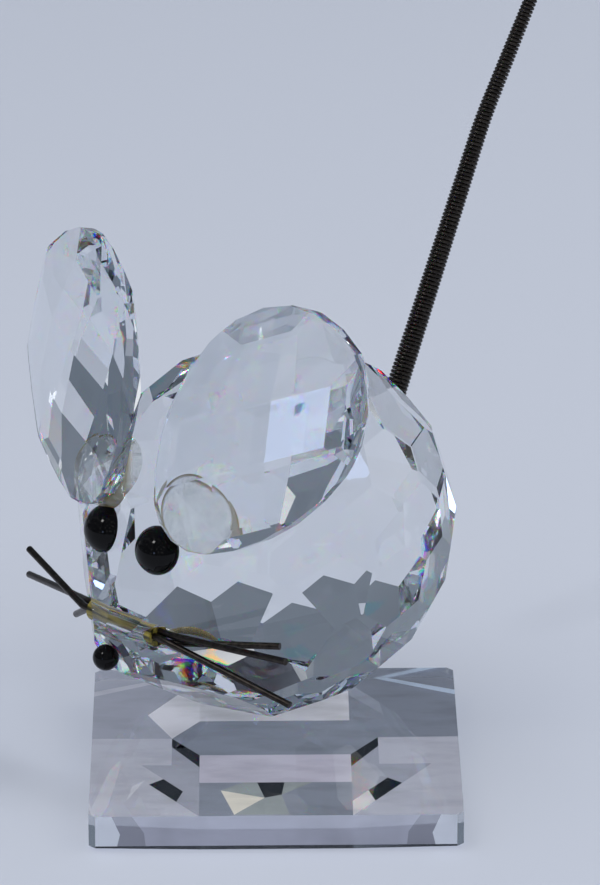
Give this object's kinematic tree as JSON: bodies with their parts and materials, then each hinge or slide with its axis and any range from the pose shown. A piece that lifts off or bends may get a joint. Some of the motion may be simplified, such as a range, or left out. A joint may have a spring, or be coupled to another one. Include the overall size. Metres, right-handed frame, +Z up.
{
  "type": "mouse figurine",
  "caption": "Cut crystal mouse with drop-shaped ears, black eyes and nose, wire whiskers and a sprung wire tail, glued to a square crystal plate.",
  "frame": {"origin": "centre of the base plate's underside", "axes": "+Z up, the plate's edges along X and Y; the mouse looks out over the front left corner, between -X and -Y"},
  "size_m": [0.0725, 0.0786, 0.0971],
  "materials": {
    "crystal": "clear full-lead crystal, polished facets",
    "adhesive": "clear cured adhesive, slightly milky",
    "amber_adhesive": "clear cured adhesive, yellowed in the bore",
    "black_glass": "opaque black glass, fire polished",
    "whisker_wire": "black plated steel wire",
    "spring_wire": "dark plated spring wire"
  },
  "bodies": {
    "figure": {"base_plate": "crystal", "body_crystal": "crystal", "base_adhesive": "adhesive", "left_ear": "crystal", "right_ear": "crystal", "left_ear_adhesive": "adhesive", "right_ear_adhesive": "adhesive", "left_eye": "black_glass", "right_eye": "black_glass", "nose": "black_glass", "whisker_upper": "whisker_wire", "whisker_middle": "whisker_wire", "whisker_lower": "whisker_wire", "whisker_adhesive": "amber_adhesive", "tail_anchor_turns": "spring_wire", "tail_adhesive": "adhesive"},
    "tail_lower": {"tail_lower_coil": "spring_wire"},
    "tail_upper": {"tail_upper_coil": "spring_wire"}
  },
  "joints": [
    {"name": "tail_nod", "type": "hinge", "parent": "figure", "child": "tail_lower", "pos_m": [0.01706, 0.03494, 0.04226], "axis": [0.6691, -0.7431, 0], "range_deg": [-15, 15], "stiffness_Nm_per_rad": 0.004},
    {"name": "tail_sway", "type": "hinge", "parent": "tail_lower", "child": "tail_upper", "pos_m": [0.02949, 0.04614, 0.07881], "axis": [-0.6397, -0.5759, 0.509], "range_deg": [-15, 15], "stiffness_Nm_per_rad": 0.004}
  ]
}
